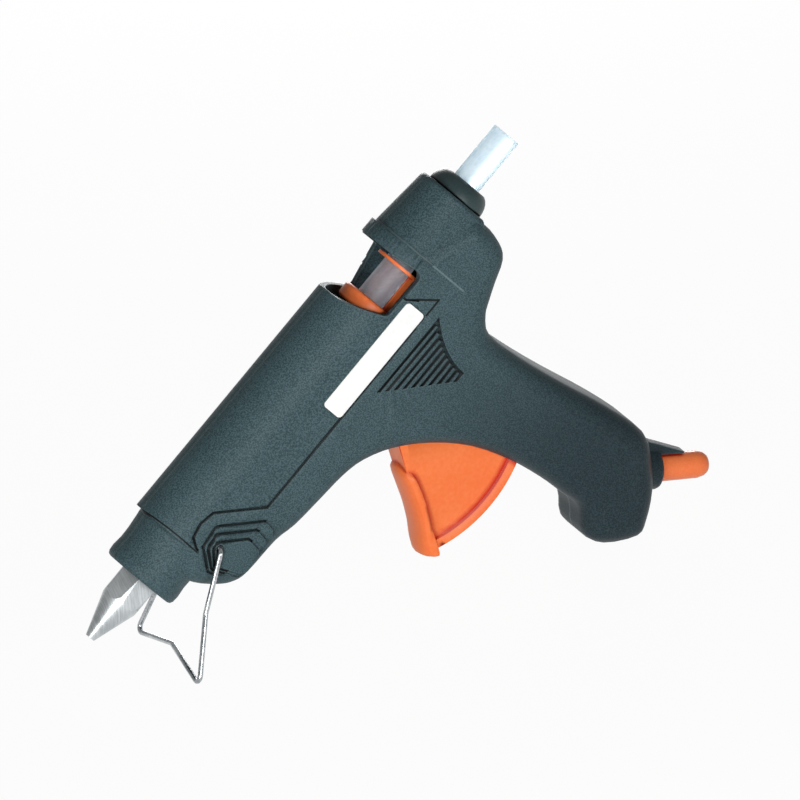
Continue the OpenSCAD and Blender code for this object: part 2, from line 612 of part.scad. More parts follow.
// Finger pad: layers across its width, whose front and upper end draw back towards both flanks
function pad_line(draw) =
    let (n = len(PAD_FRONT), dip = pad_dip * draw,
         front = PAD_FRONT + pad_draw * draw * (PAD_BACK - PAD_FRONT))
    concat([front[0] + dip * (front[1] - front[0])], [for (i = [1:n - 1]) front[i]],
           [for (i = [n - 1:-1:1]) PAD_BACK[i]], [PAD_BACK[0] + dip * (PAD_BACK[1] - PAD_BACK[0])]);
PAD_TURNS = [-90:PAD_TURN:90];
module finger_pad() {
    m = 2 * len(PAD_FRONT) * PAD_STEPS;
    layers = 180 / PAD_TURN;
    last = layers * m;
    points = [for (a = PAD_TURNS, q = curve(pad_line(1 - cos(a)), PAD_STEPS, true))
        [q[0], pad_w / 2 * sin(a), q[1]]];
    walls = [for (j = [0:layers - 1], i = [0:m - 1])
        let (a = j * m + i, b = j * m + (i + 1) % m) each [[a, b, a + m], [b, b + m, a + m]]];
    caps = [for (i = [0:m / 2 - 2]) let (j = m - 1 - i)
        each [[i, j, i + 1], [i + 1, j, j - 1], [last + i, last + i + 1, last + j],
              [last + i + 1, last + j - 1, last + j]]];
    polyhedron(points, concat(walls, caps));
}
module trigger() color("#f47a34") stand_up() translate([pivot[0], 0, pivot[1]]) difference() {
    union() {
        side(-web_w / 2, web_w / 2) sector_slice(trigger_reach - past, front_angle, rear_angle);
        side(-trigger_w / 2, trigger_w / 2) difference() {
            sector_slice(trigger_reach, front_angle, rear_angle);
            circle(trigger_reach - rim_t, $fn = 96);
        }
        finger_pad();
        across([0, 0], -hub_w / 2, hub_w / 2, hub_r);
        side(-arm_w / 2, arm_w / 2) {
            translate(drive - pivot) circle(arm_r);
            rotate(-arm_lean) translate([-arm_t / 2, 0]) square([arm_t, arm_len]);
        }
    }
    across([0, 0], -hub_w, hub_w, pivot_d / 2 + fit);
    across(drive - pivot, -hub_w, hub_w, drive_d / 2 + fit);
}
module trigger_pin() color("silver") stand_up() across(pivot, -inside_w + 0.8, inside_w - 0.8, pivot_d / 2);
module drive_pin() color("silver") stand_up()
    across(drive, -cheek_y - cheek_t - past, cheek_y + cheek_t + past, drive_d / 2);

module glue_stick() color("#dfe6ea", 0.8) stand_up() rod(stick_b, tail_b, stick_r);
DOME = [for (a = [0:15:75])
    [end_b + seat + (guide_len - seat) * sin(a) / sin(75), guide_r - 3.4 * (1 - cos(a)) / (1 - cos(75))]];
module rear_guide() color("#2c3436") stand_up() difference() {
    turned([[end_b - wall - flange_t, 0], [end_b - wall - flange_t, guide_flange_r],
        [end_b - wall - seat, guide_flange_r], [end_b - wall - seat, guide_neck_r - seat],
        [end_b + seat, guide_neck_r - seat], each DOME, [guide_b, 0]]);
    rod(end_b - 2 * wall - flange_t, guide_b + past, hole_r + 0.2);
}

// Wire bent in one plane: straight runs joined by arcs, with true round pins at its ends
function turn(a, b) = atan2(a[0] * b[1] - a[1] * b[0], a * b);
function spun(v, a) = [v[0] * cos(a) - v[1] * sin(a), v[0] * sin(a) + v[1] * cos(a)];
function elbow(p, i, r) =
    let (a = unit(p[i] - p[i - 1]), t = turn(a, p[i + 1] - p[i]), from = p[i] - r * tan(abs(t) / 2) * a,
         out = sign(t) * r * [a[1], -a[0]])
    [for (k = [0:BEND_STEPS]) from - out + spun(out, t * k / BEND_STEPS)];
function bent(p, r) = concat([p[0]], [for (i = [1:len(p) - 2]) each elbow(p, i, r)], [p[len(p) - 1]]);
WIRE_PATH = bent([[0, -pin_end - past], [0, -leg_y], [leg_straight, -leg_y], [leg_len, -foot_y],
    [leg_len - kink, 0], [leg_len, foot_y], [leg_straight, leg_y], [0, leg_y], [0, pin_end + past]],
    bend_r + wire_d / 2);
wire_share = 0.985;
// Resting pose: the floor touches the feet of the stand and the butt
foot = stand - max([for (p = WIRE_PATH) p[0]]) * [cos(leg_lean), sin(leg_lean)];
rest_line = foot - land;
tilt = 90 - atan2(rest_line[1], rest_line[0]) + acos(wire_d / 2 / norm(rest_line));
floor_z = land[0] * sin(tilt) + land[1] * cos(tilt);
max_x = gland_end[0] * cos(tilt) - gland_end[1] * sin(tilt)
    + (gland_d / 2 - lip) * sin(gland_angle - tilt);
mid_x = (max_x - tip_d / 2 * sin(tilt)) / 2;
module wire_stand() color("#d5d8da") stand_up()
    translate([stand[0], 0, stand[1]]) rotate([0, 180 - leg_lean, 0]) {
        tube([for (p = WIRE_PATH) [p[0], p[1], 0]], wire_d * wire_share, WIRE_SIDES, [0, 0, 1]);
        for (y = [-boss_y, pin_end]) across([0, 0], y, y + boss_y - pin_end, wire_d / 2);
    }

module cord_gland() color("#f47a34") stand_up() at_gland() difference() {
    turned([[-wall - flange_t, 0], [-wall - flange_t, flange_r], [-wall - seat, flange_r],
        [-wall - seat, gland_d / 2], [gland_len - gland_taper, gland_d / 2 - 0.3],
        [gland_len - 1.4, gland_d / 2 - 1], [gland_len - 0.3, gland_d / 2 - 1.8],
        [gland_len, gland_d / 2 - lip], [gland_len, 0]]);
    rod(-2 * wall - flange_t, gland_len + past, cord_d / 2);
}
module cord_clamp() color("#2c3436") stand_up() at_gland() difference() {
    box([clamp_x - clamp_t, clamp_x + clamp_t], [bar_y, bar_y + clamp_t], mid(0, 2 * clamp_span + 6.4));
    for (s = [-1, 1]) across([clamp_x, s * clamp_span], 0, 3 * bar_y, clamp_r + fit);
}
module clamp_screws() color("silver") stand_up() at_gland() for (s = [-1, 1]) {
    across([clamp_x, s * clamp_span], -clamp_bite, bar_y + clamp_t + lap, clamp_r);
    across([clamp_x, s * clamp_span], bar_y + clamp_t + fit, bar_y + clamp_t + 1.8, 2 * clamp_r);
}
module terminal_block() color("#e6e4da") stand_up() translate([block[0], 0, block[1]]) difference() {
    cube(block_size, center = true);
    for (s = [-1, 1]) translate([0, s * lead_y, 0])
        cylinder(h = block_size[2] + past, r = lead_d / 2 + seat, center = true);
}
LEAD_LINE = concat(curve(LEAD_ROUTE, LEAD_STEPS, false), [LEAD_ROUTE[len(LEAD_ROUTE) - 1]]);
module heater_leads() color("#b5482f") stand_up() for (s = [-1, 1])
    tube([for (p = LEAD_LINE) [p[0], s * p[2], p[1]]], lead_d, 8, [0, 1, 0]);
module housing_screws() color("silver") stand_up() for (s = SCREWS) difference() {
    union() {
        across(s, screw_end, head_y + lap, screw_d / 2);
        across(s, head_y + fit, head_y + fit + head_t, head_r);
    }
    for (a = [0, 90]) translate([s[0], head_y + head_t, s[1]]) rotate([0, a, 0])
        box(mid(0, head_r * 1.2), [-past, 2 * past], mid(0, 0.8));
}
module label() color("white") stand_up()
    side(-barrel_r, -barrel_r + label_t - 0.02) label_form(0);

left_shell();
right_shell();
nozzle();
melt_chamber();
heater_element();
front_bush();
rear_bush();
feed_sleeve();
sleeve_ring();
carriage();
stick_gripper();
return_spring();
trigger();
trigger_pin();
drive_pin();
glue_stick();
rear_guide();
wire_stand();
cord_gland();
cord_clamp();
clamp_screws();
terminal_block();
heater_leads();
housing_screws();
label();
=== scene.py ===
# %% [markdown]
# # A trigger-fed hot glue gun, dressed for the camera
# The CAD model gives every piece its size and its place. This lesson loads it, puts a camera where the
# photo was taken from, gives each piece the finish that its factory would, and lights it like a product
# photo.

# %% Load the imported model
import json
import math

import bmesh
import bpy
from mathutils import Color, Matrix, Vector

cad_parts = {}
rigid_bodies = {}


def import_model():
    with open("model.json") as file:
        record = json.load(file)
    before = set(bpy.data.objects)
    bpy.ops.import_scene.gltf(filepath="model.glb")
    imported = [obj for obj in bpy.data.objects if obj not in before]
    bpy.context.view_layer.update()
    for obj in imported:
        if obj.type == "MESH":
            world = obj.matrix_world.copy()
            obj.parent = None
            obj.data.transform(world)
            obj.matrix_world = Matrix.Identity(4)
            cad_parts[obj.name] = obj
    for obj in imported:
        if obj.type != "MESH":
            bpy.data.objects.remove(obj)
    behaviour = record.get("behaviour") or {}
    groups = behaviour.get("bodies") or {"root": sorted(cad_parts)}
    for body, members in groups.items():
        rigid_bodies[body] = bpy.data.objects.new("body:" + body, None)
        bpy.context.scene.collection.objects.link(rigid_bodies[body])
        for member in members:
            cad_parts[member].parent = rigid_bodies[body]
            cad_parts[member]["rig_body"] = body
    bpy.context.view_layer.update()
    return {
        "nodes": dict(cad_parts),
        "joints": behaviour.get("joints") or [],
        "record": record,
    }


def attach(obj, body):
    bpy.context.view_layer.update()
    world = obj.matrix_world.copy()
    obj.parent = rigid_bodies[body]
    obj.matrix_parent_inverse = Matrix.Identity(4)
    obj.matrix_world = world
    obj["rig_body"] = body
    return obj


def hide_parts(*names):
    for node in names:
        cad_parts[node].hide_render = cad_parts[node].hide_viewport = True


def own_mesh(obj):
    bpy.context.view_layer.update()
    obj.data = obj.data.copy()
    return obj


MM = 0.001

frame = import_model()
nodes = frame["nodes"]
joints = {joint["name"]: joint for joint in frame["joints"]}
scene = bpy.context.scene

# %% [markdown]
# ## The barrel's own directions
# The gun leans on its stand, so the world's axes say little about it. Most of what follows is easier to say
# along the barrel, up from it and across it. The carriage slides along the barrel, so its joint gives the
# first of these, and the trigger's pivot, a known distance behind and below the nozzle's tip, gives the
# place of the tip.

# %% Find the barrel
PIVOT_BACK = 131
PIVOT_DOWN = 37

back_along = -Vector(joints["carriage_feed"]["axis"]).normalized()
up_from = Vector((-back_along.z, 0, back_along.x))
across = Vector((0, 1, 0))
tilt = math.atan2(back_along.z, back_along.x)
pivot = Vector(joints["trigger_pull"]["pos_m"])
tip = pivot + (up_from * PIVOT_DOWN - back_along * PIVOT_BACK) * MM
print("barrel tilted", round(math.degrees(tilt), 1), "degrees, tip at", [round(x, 4) for x in tip])

# %% [markdown]
# ## Camera
# The photo looks down on the gun's left side, with the barrel climbing to the right. A long lens far away
# keeps the barrel's sides nearly parallel, as they are in the photo. The view is rolled round the barrel
# first, and then turned in the picture until the barrel climbs as steeply as it does there.

# %% Aim the camera
LOOK_DOWN = math.radians(32)
CLIMB = math.radians(50.38)
MIDDLE_BACK = 139.45
MIDDLE_DOWN = 32.0
PICTURE_WIDTH = 293 * MM
CAMERA_AWAY = 6.0
SENSOR = 36

seen_up = up_from * math.cos(LOOK_DOWN) + across * math.sin(LOOK_DOWN)
to_camera = up_from * math.sin(LOOK_DOWN) - across * math.cos(LOOK_DOWN)
picture_right = back_along * math.cos(CLIMB) - seen_up * math.sin(CLIMB)
picture_up = back_along * math.sin(CLIMB) + seen_up * math.cos(CLIMB)
middle = tip + (back_along * MIDDLE_BACK - seen_up * MIDDLE_DOWN) * MM

lens = bpy.data.cameras.new("camera")
lens.sensor_width = SENSOR
lens.lens = SENSOR * CAMERA_AWAY / PICTURE_WIDTH
camera = bpy.data.objects.new("camera", lens)
turn = Matrix((picture_right, picture_up, to_camera)).transposed()
camera.matrix_world = Matrix.Translation(middle + to_camera * CAMERA_AWAY) @ turn.to_4x4()
scene.collection.objects.link(camera)
scene.camera = camera
print("lens", round(lens.lens), "mm, looking at", [round(x, 4) for x in middle])

# %% [markdown]
# ## Writing shaders as sums
# A finish is a small tree of nodes. Laying out every Math node by hand hides the idea, so one class wraps a
# socket: `grain * 0.3 + 0.5` then adds the two Math nodes itself. Any other node comes from its `node`
# method.


# %% A socket that can be written with
class Signal:
    """An output of a shader node. Arithmetic on it adds Math nodes to the same tree."""

    def __init__(self, tree, socket=None):
        self.tree = tree
        self.socket = socket

    def node(self, kind, settings=None, sockets=None, out=0):
        """One node: its settings first, then the values or links of its sockets."""
        made = self.tree.nodes.new(kind)
        for name, value in (settings or {}).items():
            setattr(made, name, value)
        for name, value in (sockets or {}).items():
            if isinstance(value, Signal):
                self.tree.links.new(value.socket, made.inputs[name])
            else:
                made.inputs[name].default_value = value
        return Signal(self.tree, made.outputs[out] if made.outputs else None)

    def maths(self, operation, a, b=0.0, clamp=False):
        settings = {"operation": operation, "use_clamp": clamp}
        return self.node("ShaderNodeMath", settings, {0: a, 1: b})

    def __add__(self, other):
        return self.maths("ADD", self, other)

    def __sub__(self, other):
        return self.maths("SUBTRACT", self, other)

    def __rsub__(self, other):
        return self.maths("SUBTRACT", other, self)

    def __mul__(self, other):
        return self.maths("MULTIPLY", self, other)

    def __abs__(self):
        return self.maths("ABSOLUTE", self)

    __radd__ = __add__
    __rmul__ = __mul__

    def held(self):
        """The same value, kept between 0 and 1."""
        return self.maths("ADD", self, clamp=True)

    def above(self, low, high):
        """0 below low, 1 over high, and a smooth slope between."""
        sockets = {"Value": self, "From Min": low, "From Max": high}
        return self.node("ShaderNodeMapRange", {"interpolation_type": "SMOOTHSTEP"}, sockets)

    def swing(self, width):
        """A 0 to 1 pattern as a swing of this whole width round zero."""
        return (self - 0.5) * width

    def share(self, part, other):
        """This much of the pattern, and the rest of another."""
        return self * part + other * (1 - part)

    def at_least(self, least):
        """A 0 to 1 pattern lifted so that it never falls under least."""
        return self * (1 - least) + least

    def tint(self, dark, light):
        """A colour between two, by this value."""
        return self.node("ShaderNodeMix", {"data_type": "RGBA"}, {0: self, 6: dark, 7: light}, out=2)


print("signals ready")

# %% [markdown]
# ## Starting and closing a finish
# Colours are written as on the web, which is easy to read and to change, and turned into the linear light
# that a shader works in. Every finish starts from an empty tree and closes with one Principled shader.


# %% Colours, empty finishes and the closing shader
def ink(code):
    """A colour written as on the web, as linear light."""
    parts = [int(code[i:i + 2], 16) / 255 for i in (1, 3, 5)]
    return (*Color(parts).from_srgb_to_scene_linear(), 1.0)


def new_finish(name):
    """An empty material and a Signal to build its tree from."""
    finish = bpy.data.materials.new(name)
    finish.use_nodes = True
    finish.node_tree.nodes.clear()
    return finish, Signal(finish.node_tree)


def surface(tree, sockets):
    """The one Principled shader of a finish, with the tree's output."""
    shader = tree.node("ShaderNodeBsdfPrincipled", sockets=sockets)
    tree.node("ShaderNodeOutputMaterial", sockets={"Surface": shader})


finishes = {}
print("shader helpers ready")

# %% [markdown]
# ## What the finishes share
# Most finishes here come from the same few marks. A grain is noise at a scale given in millimetres. An edge
# is found with the Bevel node: where its rounded normal leans away from the true one, there is an edge. The
# same rounded normal also softens the solids' knife edges, as a mould or a deburring wheel does. Grooves
# and inner corners, which the Ambient Occlusion node finds, get painted shade in the finishes.

# %% Grain, worn edges, grooves and bump
EDGE_SAMPLES = 4
GROOVE_SAMPLES = 6
NOISE_RANGE = (0.3, 0.7)


def place(tree):
    """Where a point of the piece is, in metres. The pieces sit at the origin, so a pattern never slides."""
    return tree.node("ShaderNodeTexCoord", out="Object")


def grain(tree, size_mm, detail=2.0, at=None):
    """Noise whose spots are about size_mm across."""
    sockets = {"Vector": at or place(tree), "Scale": 1 / (size_mm * MM), "Detail": detail}
    return tree.node("ShaderNodeTexNoise", sockets=sockets)


def along_barrel(tree, stretch):
    """Places turned so that X runs along the barrel, and stretched by three factors."""
    sockets = {"Vector": place(tree), "Rotation": (0, tilt, 0), "Scale": stretch}
    return tree.node("ShaderNodeMapping", {"vector_type": "POINT"}, sockets)


def dot(tree, a, b):
    """The dot product of two vectors."""
    return tree.node("ShaderNodeVectorMath", {"operation": "DOT_PRODUCT"}, {0: a, 1: b}, out="Value")


def rounded(tree, radius_mm):
    """The surface's normal, as if its edges had this radius."""
    return tree.node("ShaderNodeBevel", {"samples": EDGE_SAMPLES}, {"Radius": radius_mm * MM})


def edges(tree, soft_normal, gain):
    """1 on an edge and 0 on an even face."""
    true_normal = tree.node("ShaderNodeNewGeometry", out="Normal")
    return ((1 - dot(tree, soft_normal, true_normal)) * gain).held()


# Painted shade: the finishes darken their colour by this mask in grooves and inner corners.
def grooves(tree, reach_mm):
    """1 deep in a groove or an inner corner and 0 in the open, judged from reach_mm around."""
    sockets = {"Distance": reach_mm * MM}
    return 1 - tree.node("ShaderNodeAmbientOcclusion", {"samples": GROOVE_SAMPLES}, sockets, out="AO")


def bump(tree, height, depth_mm, normal):
    """A normal that height pushes in and out by depth_mm."""
    sockets = {"Height": height, "Distance": depth_mm * MM, "Normal": normal}
    return tree.node("ShaderNodeBump", sockets=sockets)


print("marks ready")

# %% [markdown]
# ## Small moulded pieces
# The lever, the carriage, the sleeve at the butt and the trim are injection moulded, and so are the
# terminal block and the bushes inside. A mould leaves a fine matt grain, the colour drifts a little and
# handling lightens the edges. Grooves and inner corners get painted shade. One recipe makes them all, and
# the ceramic of the heater too; only its amounts differ.

# %% Plastic finishes
CLOUD_MM = 24.0
CLOUD_SHARE = 0.55
GROOVE_REACH = 2.5
EDGE_GAIN = 2.5
WORN_LEAST = 0.3
PLASTIC_SHINE = 0.3
GRAIN_GLOSS = 0.16
WORN_POLISH = 0.12


def moulded(name, deep, pale, edge, shade, grain_mm, depth_mm, gloss,
            edge_mm=0.5, coat=0.0, shaded=(0.12, 0.6)):
    """Textured plastic: two colours that drift together, lighter edges, painted shade in grooves and a
    grain.
    """
    finish, tree = new_finish(name)
    soft = rounded(tree, edge_mm)
    lighter_edges = edges(tree, soft, EDGE_GAIN)
    fine = grain(tree, grain_mm, detail=3.0)
    drift = grain(tree, CLOUD_MM).share(CLOUD_SHARE, fine).above(*NOISE_RANGE)
    colour = drift.tint(ink(deep), ink(pale))
    colour = (lighter_edges * fine.at_least(WORN_LEAST)).held().tint(colour, ink(edge))
    # Painted shade: the colour turns towards shade in grooves and inner corners.
    colour = grooves(tree, GROOVE_REACH).above(*shaded).tint(colour, ink(shade))
    sockets = {
        "Base Color": colour,
        "Roughness": (gloss + fine.swing(GRAIN_GLOSS) - lighter_edges * WORN_POLISH).held(),
        "Normal": bump(tree, fine, depth_mm, soft),
        "Specular IOR Level": PLASTIC_SHINE,
        "Coat Weight": coat,
    }
    surface(tree, sockets)
    return finish


# shade is the colour of the painted shade in grooves and inner corners, and shaded the range of the groove
# mask it takes.
PLASTICS = {
    "dark_trim": dict(deep="#233134", pale="#304142", edge="#5A6C6E", shade="#080B0B",
                      grain_mm=0.6, depth_mm=0.03, gloss=0.42),
    "orange": dict(deep="#EE7036", pale="#F38046", edge="#FFA46C", shade="#BE1E08",
                   grain_mm=1.6, depth_mm=0.012, gloss=0.42, edge_mm=0.25, shaded=(0.05, 0.27)),
    "orange_soft": dict(deep="#F0743C", pale="#F8864C", edge="#FFA672", shade="#C02A10",
                        grain_mm=0.7, depth_mm=0.015, gloss=0.4, edge_mm=0.3, coat=0.2),
    "block": dict(deep="#D9D6C6", pale="#E4E1D4", edge="#F0EEE4", shade="#8E8A78",
                  grain_mm=1.2, depth_mm=0.02, gloss=0.4),
    "bush": dict(deep="#6B4630", pale="#7C5238", edge="#94694C", shade="#38231A",
                 grain_mm=0.5, depth_mm=0.05, gloss=0.7),
    "ceramic": dict(deep="#DDD8C8", pale="#EAE6D8", edge="#F4F1E8", shade="#A39E8C",
                    grain_mm=0.35, depth_mm=0.04, gloss=0.75),
}
for name, amounts in PLASTICS.items():
    finishes[name] = moulded(name, **amounts)
print(len(PLASTICS), "moulded finishes ready")

# %% [markdown]
# ## Lines on the housing
# Fine lines run over the two halves: the gap where they meet, in the gun's middle plane; the line where the
# collar starts, which bows back a little towards the flanks; the hood's lip behind the window, a painted
# highlight; and the two lines of a small wedge behind the label. They are far thinner than a modelled groove
# should be, so the finish draws them. Each is found from how far a point lies along one of the barrel's
# directions.

# %% Distances and lines
COLLAR_LINE = 47.4
COLLAR_LEAN = 0.045
COLLAR_BOW = 0.12
COLLAR_WIDTH = (0.15, 0.45)
WEDGE_TOP = (169.3, -2.3)
WEDGE_TIP = (176.7, -13.0)
WEDGE_WIDTH = (0.2, 0.6)
WEDGE_FADE = 0.4


def lengths(tree, direction):
    """How far a point lies from the tip along a direction, in millimetres."""
    from_tip = tree.node("ShaderNodeVectorMath", {"operation": "SUBTRACT"}, {0: place(tree), 1: tip})
    return dot(tree, from_tip, direction / MM)


def on_line(off, full_mm, gone_mm):
    """1 on a line and 0 away from it, by the distance off it: full up to one width, gone by the other."""
    return 1 - abs(off).above(full_mm, gone_mm)


def between(value, low, high, fade):
    """1 from low to high, with soft ends."""
    return value.above(low - fade, low) * (1 - value.above(high, high + fade))


def collar_line(tree):
    bowed = lengths(tree, back_along - up_from * COLLAR_LEAN) - abs(lengths(tree, across)) * COLLAR_BOW
    return on_line(bowed - COLLAR_LINE, *COLLAR_WIDTH)


def wedge_lines(tree, back, high):
    """From the wedge's top down to its tip, and along its foot to the tip."""
    run = WEDGE_TIP[0] - WEDGE_TOP[0]
    rise = WEDGE_TOP[1] - WEDGE_TIP[1]
    long = math.hypot(run, rise)
    off_slope = (back - WEDGE_TOP[0]) * (rise / long) + (high - WEDGE_TOP[1]) * (run / long)
    slope = on_line(off_slope, *WEDGE_WIDTH) * between(high, WEDGE_TIP[1], WEDGE_TOP[1], WEDGE_FADE)
    foot = on_line(high - WEDGE_TIP[1], *WEDGE_WIDTH) * between(back, WEDGE_TOP[0], WEDGE_TIP[0], WEDGE_FADE)
    return (slope + foot).held()


print("lines ready")

# %% [markdown]
# ## Housing
# The two halves are moulded in a dark grey-green plastic from a spark-eroded mould, so they show a coarser
# grain than the small pieces, in colour as well as in relief. The colour is darker with the distance below
# the barrel: painted shade, for light that falls off towards the butt; the grip is also a little glossier.
# Edges, and a lip on both sides of the gap between the halves, are lighter: partly wear, partly painted
# highlight. Grooves get painted shade, and the hood's lip a painted highlight line.

# %% Housing finish
HOUSING_GRAIN = 0.5
HOUSING_RELIEF = 0.07
HOUSING_CLOUD = 20.0
HOUSING_GLOSS = 0.52
HOUSING_SHINE = 0.16
HOUSING_EDGE = 0.5
SPECK_RANGE = (0.36, 0.64)
SPECK_SHARE = 0.7
SHADE_STARTS_BELOW = 14
SHADE_DARKEST_BELOW = 115
GRIP_POLISH = 0.08
SEAM_GAP = 0.16
SEAM_LIP = 0.75
SEAM_WEAR_AND_HIGHLIGHT = 0.6
WEAR_AND_HIGHLIGHT_MM = 1.1
WEAR_AND_HIGHLIGHT_GAIN = 2.2
WEAR_AND_HIGHLIGHT_PATCHY = 0.4
SHADE_REACH = 1.8
SHADE_RANGE = (0.08, 0.34)
FLANK_EDGE = (-3.5, -1.5)
HOOD_LIP = 184.9
HOOD_FOOT = (-21, -17)
LIP_WIDTH = (0.15, 0.5)
LIP_AROUND = (5, 7)
LIP_SHADE_SPARED = 0.9


def housing_finish():
    finish, tree = new_finish("housing")
    fine = grain(tree, HOUSING_GRAIN, detail=3.0)
    specks = fine.above(*SPECK_RANGE)
    cloud = grain(tree, HOUSING_CLOUD)
    back = lengths(tree, back_along)
    high = lengths(tree, up_from)
    off_seam = lengths(tree, across)
    over_flank = high.above(*FLANK_EDGE)
    # Painted shade: the colour darkens with the distance below the barrel, for light that falls off towards
    # the butt.
    falloff_below_barrel = lengths(tree, -up_from).above(SHADE_STARTS_BELOW, SHADE_DARKEST_BELOW)

    # An unshaded and a painted-shade tone of the housing colour, mixed by the slope below the barrel.
    unshaded_tone = specks.share(SPECK_SHARE, cloud).tint(ink("#25363A"), ink("#4C6267"))
    painted_shade_tone = specks.tint(ink("#17242A"), ink("#2D3D42"))
    colour = falloff_below_barrel.tint(unshaded_tone, painted_shade_tone)

    # Lighter edges: partly wear, partly a painted highlight along the rims.
    lighter_edges = edges(tree, rounded(tree, WEAR_AND_HIGHLIGHT_MM), WEAR_AND_HIGHLIGHT_GAIN)
    # Painted highlight: a thin light line along the hood's lip.
    lip_highlight = on_line(back - HOOD_LIP, *LIP_WIDTH) * high.above(*HOOD_FOOT)
    light = lighter_edges + lip_highlight + on_line(off_seam, SEAM_GAP, SEAM_LIP) * SEAM_WEAR_AND_HIGHLIGHT
    # Partly wear, partly painted highlight: edges, the seam's lip and the hood's lip turn lighter.
    colour = (light * fine.at_least(WEAR_AND_HIGHLIGHT_PATCHY)).held().tint(colour, ink("#6B7F82"))

    # Painted shade: grooves and inner corners darken, less so round the hood's lip. The seam gap, the
    # collar's line and the wedge's lines are dark joints.
    near_lip = on_line(back - HOOD_LIP, *LIP_AROUND) * over_flank
    dark = grooves(tree, SHADE_REACH).above(*SHADE_RANGE) * (1 - near_lip * LIP_SHADE_SPARED)
    dark = dark + on_line(off_seam, SEAM_GAP / 2, SEAM_GAP)
    dark = dark + collar_line(tree) * over_flank + wedge_lines(tree, back, high)
    colour = dark.held().tint(colour, ink("#06090A"))

    gloss = HOUSING_GLOSS + fine.swing(GRAIN_GLOSS) - lighter_edges * WORN_POLISH - falloff_below_barrel * GRIP_POLISH
    sockets = {
        "Base Color": colour,
        "Roughness": gloss.held(),
        "Normal": bump(tree, fine, HOUSING_RELIEF, rounded(tree, HOUSING_EDGE)),
        "Specular IOR Level": HOUSING_SHINE,
    }
    surface(tree, sockets)
    return finish


finishes["housing"] = housing_finish()
print("housing ready")

# %% [markdown]
# ## Rubber
# The feed sleeve and the leads' covers are silicone: no grain, a dusty bloom, and a soft wide shine.

# %% Silicone and lead covers
DUST_MM = 3.0
DUST_RANGE = (0.35, 0.75)
DUST_RELIEF = 0.03
DUST_GLOSS = 0.25
RUBBER_GLOSS = 0.55
RUBBER_SHEEN = 0.15
SOFT_EDGE = 0.3


def rubbery(name, deep, bloom):
    """Soft rubber with a dusty bloom on it."""
    finish, tree = new_finish(name)
    dust = grain(tree, DUST_MM, detail=4.0)
    sockets = {
        "Base Color": dust.above(*DUST_RANGE).tint(ink(deep), ink(bloom)),
        "Roughness": (RUBBER_GLOSS + dust * DUST_GLOSS).held(),
        "Normal": bump(tree, dust, DUST_RELIEF, rounded(tree, SOFT_EDGE)),
        "Sheen Weight": RUBBER_SHEEN,
    }
    surface(tree, sockets)
    return finish


finishes["silicone"] = rubbery("silicone", "#A63A22", "#BC5B44")
finishes["lead"] = rubbery("lead", "#9C2F1E", "#B04A38")
print("rubbers ready")

# %% [markdown]
# ## Metals
# The nozzle is turned from bar, so its marks run round it: noise that changes fast along the barrel and
# hardly round it. The wire is drawn and plated, with streaks along its run too fine to follow, so a small
# even grain in its gloss is enough. The melt chamber is die cast, with a coarse skin.

# %% Metal finishes
STAIN_MM = 9.0
MARK_GLOSS = 0.14
STAIN_GLOSS = 0.1
METAL_EDGE = 0.25
RING_STRETCH = (3.0, 0.12, 0.12)


def metal(name, deep, bright, gloss, depth_mm, mark_mm, detail=3.0, stretch=None):
    """Bare metal with a mark in its colour, gloss and bump, stretched along or round the barrel if asked."""
    finish, tree = new_finish(name)
    marks = grain(tree, mark_mm, detail, at=stretch and along_barrel(tree, stretch))
    stain = grain(tree, STAIN_MM, detail=3.0)
    sockets = {
        "Base Color": marks.share(0.5, stain).above(*NOISE_RANGE).tint(ink(deep), ink(bright)),
        "Metallic": 1.0,
        "Roughness": (gloss + marks.swing(MARK_GLOSS) + stain.swing(STAIN_GLOSS)).held(),
        "Normal": bump(tree, marks, depth_mm, rounded(tree, METAL_EDGE)),
    }
    surface(tree, sockets)
    return finish


METALS = {
    "nozzle_metal": dict(deep="#A6ACAE", bright="#CFD4D6", gloss=0.34, depth_mm=0.003,
                         mark_mm=1.0, detail=2.0, stretch=RING_STRETCH),
    "cast_alloy": dict(deep="#A4A6A9", bright="#BABCBE", gloss=0.5, depth_mm=0.05, mark_mm=0.6),
    "steel": dict(deep="#B2B4B6", bright="#CBCDCF", gloss=0.3, depth_mm=0.01, mark_mm=0.8),
    "chrome_wire": dict(deep="#83888B", bright="#C6CACC", gloss=0.18, depth_mm=0.006,
                        mark_mm=0.7, detail=2.0),
}
for name, amounts in METALS.items():
    finishes[name] = metal(name, **amounts)
print(len(METALS), "metals ready")

# %% [markdown]
# ## Glue stick
# Hot-melt glue is a milky, see-through plastic. Light goes in, is scattered by fine lines left by the
# extruder, and comes out bluish. A rough, partly transmitting shader with lines along the stick gives that.

# %% Glue
STICK_STRETCH = (0.05, 1.4, 1.4)
LINE_MM = 1.0
LINE_SHARE = 0.6
LINE_RELIEF = 0.008
LINE_GLOSS = 0.2
HAZE_MM = 5.0
STICK_EDGE = 0.8
GLUE_GLOSS = 0.4
GLUE_CLEAR = 0.85
GLUE_IOR = 1.48


def glue_finish():
    finish, tree = new_finish("glue")
    lines = grain(tree, LINE_MM, detail=3.0, at=along_barrel(tree, STICK_STRETCH))
    milky = lines.share(LINE_SHARE, grain(tree, HAZE_MM)).above(*NOISE_RANGE)
    sockets = {
        "Base Color": milky.tint(ink("#C4DCE9"), ink("#E9F4F9")),
        "Roughness": (GLUE_GLOSS + lines * LINE_GLOSS).held(),
        "Transmission Weight": GLUE_CLEAR,
        "IOR": GLUE_IOR,
        "Normal": bump(tree, lines, LINE_RELIEF, rounded(tree, STICK_EDGE)),
    }
    surface(tree, sockets)
    return finish


finishes["glue"] = glue_finish()
print("glue ready")

